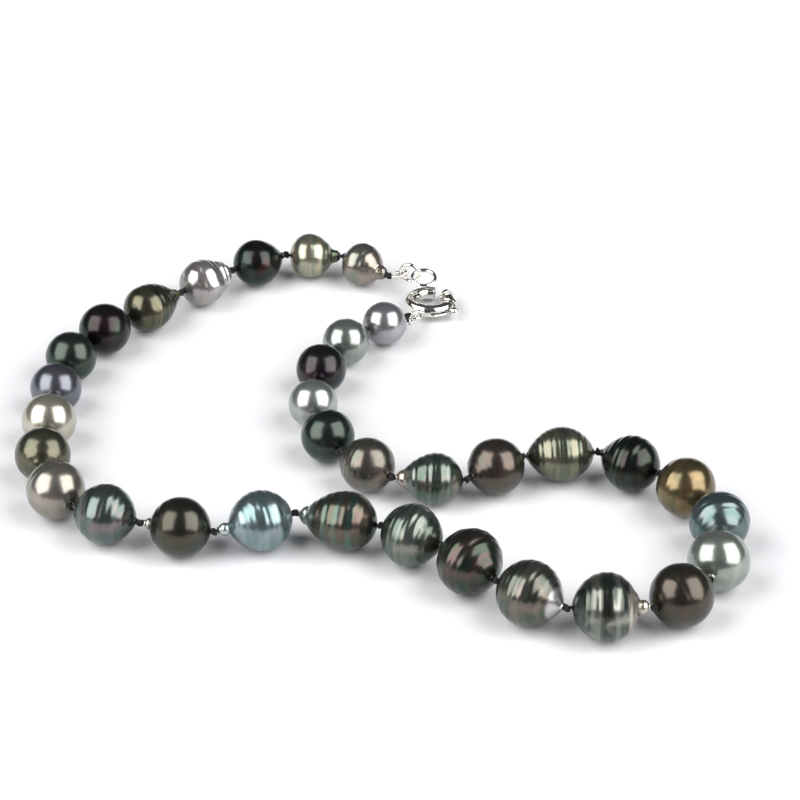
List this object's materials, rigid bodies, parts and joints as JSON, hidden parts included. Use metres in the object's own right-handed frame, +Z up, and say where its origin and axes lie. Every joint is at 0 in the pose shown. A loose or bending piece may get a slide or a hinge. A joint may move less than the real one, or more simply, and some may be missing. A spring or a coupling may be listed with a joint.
{
  "type": "pearl necklace",
  "caption": "Graduated strand of dark and silver baroque pearls, knotted on black silk, closed by a small silver bolt-ring clasp, laid in a loose double bend on a table.",
  "frame": {"origin": "on the table, under the middle of the bounding box", "axes": "+Z up from the table; +X and +Y lie in the table, with the clasp towards +Y"},
  "size_m": [0.1216, 0.1184, 0.0114],
  "materials": {
    "nacre_01": "lustrous nacre",
    "nacre_02": "lustrous nacre",
    "nacre_03": "lustrous nacre",
    "nacre_04": "lustrous nacre",
    "nacre_05": "lustrous nacre",
    "nacre_06": "lustrous nacre",
    "nacre_07": "lustrous nacre",
    "nacre_08": "lustrous nacre",
    "nacre_09": "lustrous nacre",
    "nacre_10": "lustrous nacre",
    "nacre_11": "lustrous nacre",
    "nacre_12": "lustrous nacre",
    "nacre_13": "lustrous nacre",
    "nacre_14": "lustrous nacre",
    "nacre_15": "lustrous nacre",
    "nacre_16": "lustrous nacre",
    "nacre_17": "lustrous nacre",
    "nacre_18": "lustrous nacre",
    "nacre_19": "lustrous nacre",
    "nacre_20": "lustrous nacre",
    "nacre_21": "lustrous nacre",
    "nacre_22": "lustrous nacre",
    "nacre_23": "lustrous nacre",
    "nacre_24": "lustrous nacre",
    "nacre_25": "lustrous nacre",
    "nacre_26": "lustrous nacre",
    "nacre_27": "lustrous nacre",
    "nacre_28": "lustrous nacre",
    "nacre_29": "lustrous nacre",
    "nacre_30": "lustrous nacre",
    "nacre_31": "lustrous nacre",
    "nacre_32": "lustrous nacre",
    "nacre_33": "lustrous nacre",
    "silver": "polished silver",
    "spring_steel": "drawn wire",
    "silk": "black twisted silk"
  },
  "bodies": {
    "pearl_01": {"pearl_01": "nacre_01", "gimp_catch": "silver"},
    "pearl_02": {"pearl_02": "nacre_02"},
    "pearl_03": {"pearl_03": "nacre_03"},
    "pearl_04": {"pearl_04": "nacre_04"},
    "pearl_05": {"pearl_05": "nacre_05"},
    "pearl_06": {"pearl_06": "nacre_06"},
    "pearl_07": {"pearl_07": "nacre_07"},
    "pearl_08": {"pearl_08": "nacre_08"},
    "pearl_09": {"pearl_09": "nacre_09"},
    "pearl_10": {"pearl_10": "nacre_10"},
    "pearl_11": {"pearl_11": "nacre_11"},
    "pearl_12": {"pearl_12": "nacre_12"},
    "pearl_13": {"pearl_13": "nacre_13"},
    "pearl_14": {"pearl_14": "nacre_14"},
    "pearl_15": {"pearl_15": "nacre_15"},
    "pearl_16": {"pearl_16": "nacre_16"},
    "pearl_17": {"pearl_17": "nacre_17", "silk_cord": "silk"},
    "pearl_18": {"pearl_18": "nacre_18"},
    "pearl_19": {"pearl_19": "nacre_19"},
    "pearl_20": {"pearl_20": "nacre_20"},
    "pearl_21": {"pearl_21": "nacre_21"},
    "pearl_22": {"pearl_22": "nacre_22"},
    "pearl_23": {"pearl_23": "nacre_23"},
    "pearl_24": {"pearl_24": "nacre_24"},
    "pearl_25": {"pearl_25": "nacre_25"},
    "pearl_26": {"pearl_26": "nacre_26"},
    "pearl_27": {"pearl_27": "nacre_27"},
    "pearl_28": {"pearl_28": "nacre_28"},
    "pearl_29": {"pearl_29": "nacre_29"},
    "pearl_30": {"pearl_30": "nacre_30"},
    "pearl_31": {"pearl_31": "nacre_31"},
    "pearl_32": {"pearl_32": "nacre_32"},
    "pearl_33": {"pearl_33": "nacre_33", "gimp_clasp": "silver"},
    "clasp": {"clasp_tube": "silver", "clasp_eyelet": "silver", "mouth_collar": "silver", "socket_collar": "silver", "clasp_spring": "spring_steel"},
    "clasp_bolt": {"clasp_bolt": "silver"},
    "end_ring": {"end_ring": "silver"},
    "hook_ring": {"hook_ring": "silver"}
  },
  "joints": [
    {"name": "clasp_swing", "type": "hinge", "parent": "pearl_33", "child": "clasp", "pos_m": [0.00605, 0.0378, 0.00168], "axis": [0, 0, 1], "range_deg": [-30, 30]},
    {"name": "clasp_trigger", "type": "hinge", "parent": "clasp", "child": "clasp_bolt", "pos_m": [0.00896, 0.04331, 0.00171], "axis": [-0.0363, -0.069, -0.997], "range_deg": [0, 44], "stiffness_Nm_per_rad": 0.0002, "springref_deg": -28.65, "deforming": ["clasp_spring"]},
    {"name": "end_ring_swing", "type": "hinge", "parent": "pearl_01", "child": "end_ring", "pos_m": [0.00387, 0.04782, 0.00471], "axis": [0, 0, 1], "range_deg": [-30, 30]},
    {"name": "hook_ring_lift", "type": "hinge", "parent": "end_ring", "child": "hook_ring", "pos_m": [0.00584, 0.04716, 0.00475], "axis": [-0.3197, -0.9475, 0], "range_deg": [0, 60]},
    {"name": "knot_01", "type": "hinge", "parent": "pearl_02", "child": "pearl_01", "pos_m": [-0.00636, 0.05505, 0.0039], "axis": [0, 0, 1], "range_deg": [0, 37], "deforming": ["silk_cord"]},
    {"name": "knot_02", "type": "hinge", "parent": "pearl_03", "child": "pearl_02", "pos_m": [-0.01675, 0.05542, 0.00405], "axis": [0, 0, 1], "range_deg": [0, 31], "deforming": ["silk_cord"]},
    {"name": "knot_03", "type": "hinge", "parent": "pearl_04", "child": "pearl_03", "pos_m": [-0.02628, 0.05013, 0.00413], "axis": [0, 0, 1], "range_deg": [0, 11], "deforming": ["silk_cord"]},
    {"name": "knot_04", "type": "hinge", "parent": "pearl_05", "child": "pearl_04", "pos_m": [-0.03502, 0.04281, 0.00413], "axis": [0, 0, 1], "range_deg": [0, 8], "deforming": ["silk_cord"]},
    {"name": "knot_05", "type": "hinge", "parent": "pearl_06", "child": "pearl_05", "pos_m": [-0.04438, 0.03408, 0.00432], "axis": [0, 0, 1], "range_deg": [0, 8], "deforming": ["silk_cord"]},
    {"name": "knot_06", "type": "hinge", "parent": "pearl_07", "child": "pearl_06", "pos_m": [-0.05127, 0.02615, 0.00445], "axis": [0, 0, 1], "range_deg": [0, 19], "deforming": ["silk_cord"]},
    {"name": "knot_07", "type": "hinge", "parent": "pearl_08", "child": "pearl_07", "pos_m": [-0.05509, 0.01669, 0.0044], "axis": [0, 0, 1], "range_deg": [0, 21], "deforming": ["silk_cord"]},
    {"name": "knot_08", "type": "hinge", "parent": "pearl_09", "child": "pearl_08", "pos_m": [-0.05526, 0.0066, 0.00453], "axis": [0, 0, 1], "range_deg": [0, 8], "deforming": ["silk_cord"]},
    {"name": "knot_09", "type": "hinge", "parent": "pearl_10", "child": "pearl_09", "pos_m": [-0.05618, -0.00386, 0.00468], "axis": [0, 0, 1], "range_deg": [0, 8], "deforming": ["silk_cord"]},
    {"name": "knot_10", "type": "hinge", "parent": "pearl_11", "child": "pearl_10", "pos_m": [-0.05599, -0.01466, 0.00483], "axis": [0, 0, 1], "range_deg": [0, 28], "deforming": ["silk_cord"]},
    {"name": "knot_11", "type": "hinge", "parent": "pearl_12", "child": "pearl_11", "pos_m": [-0.05042, -0.02472, 0.00502], "axis": [0, 0, 1], "range_deg": [0, 40], "deforming": ["silk_cord"]},
    {"name": "knot_12", "type": "hinge", "parent": "pearl_13", "child": "pearl_12", "pos_m": [-0.03884, -0.02916, 0.00507], "axis": [0, 0, 1], "range_deg": [0, 9], "deforming": ["silk_cord"]},
    {"name": "knot_13", "type": "hinge", "parent": "pearl_14", "child": "pearl_13", "pos_m": [-0.02661, -0.03176, 0.00507], "axis": [0, 0, 1], "range_deg": [0, 34], "deforming": ["silk_cord"]},
    {"name": "knot_14", "type": "hinge", "parent": "pearl_15", "child": "pearl_14", "pos_m": [-0.01354, -0.02648, 0.00505], "axis": [0, 0, 1], "range_deg": [0, 8], "deforming": ["silk_cord"]},
    {"name": "knot_15", "type": "hinge", "parent": "pearl_16", "child": "pearl_15", "pos_m": [0.00047, -0.03023, 0.00515], "axis": [0, 0, 1], "range_deg": [0, 8], "deforming": ["silk_cord"]},
    {"name": "knot_16", "type": "hinge", "parent": "pearl_17", "child": "pearl_16", "pos_m": [0.01095, -0.03628, 0.00545], "axis": [0, 0, 1], "range_deg": [0, 8], "deforming": ["silk_cord"]},
    {"name": "knot_17", "type": "hinge", "parent": "pearl_17", "child": "pearl_18", "pos_m": [0.01911, -0.04601, 0.00555], "axis": [0, 0, -1], "range_deg": [0, 16], "deforming": ["silk_cord"]},
    {"name": "knot_18", "type": "hinge", "parent": "pearl_18", "child": "pearl_19", "pos_m": [0.03022, -0.05351, 0.0056], "axis": [0, 0, -1], "range_deg": [0, 34], "deforming": ["silk_cord"]},
    {"name": "knot_19", "type": "hinge", "parent": "pearl_19", "child": "pearl_20", "pos_m": [0.04402, -0.05351, 0.00547], "axis": [0, 0, -1], "range_deg": [0, 40], "deforming": ["silk_cord"]},
    {"name": "knot_20", "type": "hinge", "parent": "pearl_20", "child": "pearl_21", "pos_m": [0.05314, -0.04586, 0.0052], "axis": [0, 0, -1], "range_deg": [0, 32], "deforming": ["silk_cord"]},
    {"name": "knot_21", "type": "hinge", "parent": "pearl_21", "child": "pearl_22", "pos_m": [0.05681, -0.03454, 0.0051], "axis": [0, 0, -1], "range_deg": [0, 28], "deforming": ["silk_cord"]},
    {"name": "knot_22", "type": "hinge", "parent": "pearl_22", "child": "pearl_23", "pos_m": [0.05482, -0.02321, 0.00505], "axis": [0, 0, -1], "range_deg": [0, 6], "deforming": ["silk_cord"]},
    {"name": "knot_23", "type": "hinge", "parent": "pearl_23", "child": "pearl_24", "pos_m": [0.04676, -0.01487, 0.00492], "axis": [0, 0, -1], "range_deg": [0, 8], "deforming": ["silk_cord"]},
    {"name": "knot_24", "type": "hinge", "parent": "pearl_24", "child": "pearl_25", "pos_m": [0.03673, -0.0081, 0.00473], "axis": [0, 0, -1], "range_deg": [0, 20], "deforming": ["silk_cord"]},
    {"name": "knot_25", "type": "hinge", "parent": "pearl_25", "child": "pearl_26", "pos_m": [0.024, -0.00944, 0.00473], "axis": [0, 0, -1], "range_deg": [0, 30], "deforming": ["silk_cord"]},
    {"name": "knot_26", "type": "hinge", "parent": "pearl_26", "child": "pearl_27", "pos_m": [0.01477, -0.01614, 0.00462], "axis": [0, 0, 1], "range_deg": [-6, 24], "deforming": ["silk_cord"]},
    {"name": "knot_27", "type": "hinge", "parent": "pearl_27", "child": "pearl_28", "pos_m": [0.00229, -0.01549, 0.00455], "axis": [0, 0, 1], "range_deg": [-7, 38], "deforming": ["silk_cord"]},
    {"name": "knot_28", "type": "hinge", "parent": "pearl_28", "child": "pearl_29", "pos_m": [-0.00646, -0.00788, 0.0046], "axis": [0, 0, 1], "range_deg": [-8, 6], "deforming": ["silk_cord"]},
    {"name": "knot_29", "type": "hinge", "parent": "pearl_29", "child": "pearl_30", "pos_m": [-0.01102, 0.00235, 0.00438], "axis": [0, 0, 1], "range_deg": [-8, 6], "deforming": ["silk_cord"]},
    {"name": "knot_30", "type": "hinge", "parent": "pearl_30", "child": "pearl_31", "pos_m": [-0.01139, 0.01285, 0.00425], "axis": [0, 0, 1], "range_deg": [-8, 8], "deforming": ["silk_cord"]},
    {"name": "knot_31", "type": "hinge", "parent": "pearl_31", "child": "pearl_32", "pos_m": [-0.00852, 0.02285, 0.00417], "axis": [0, 0, 1], "range_deg": [-8, 11], "deforming": ["silk_cord"]},
    {"name": "knot_32", "type": "hinge", "parent": "pearl_32", "child": "pearl_33", "pos_m": [-0.00301, 0.03071, 0.00392], "axis": [0, 0, 1], "range_deg": [-8, 18], "deforming": ["silk_cord"]}
  ]
}
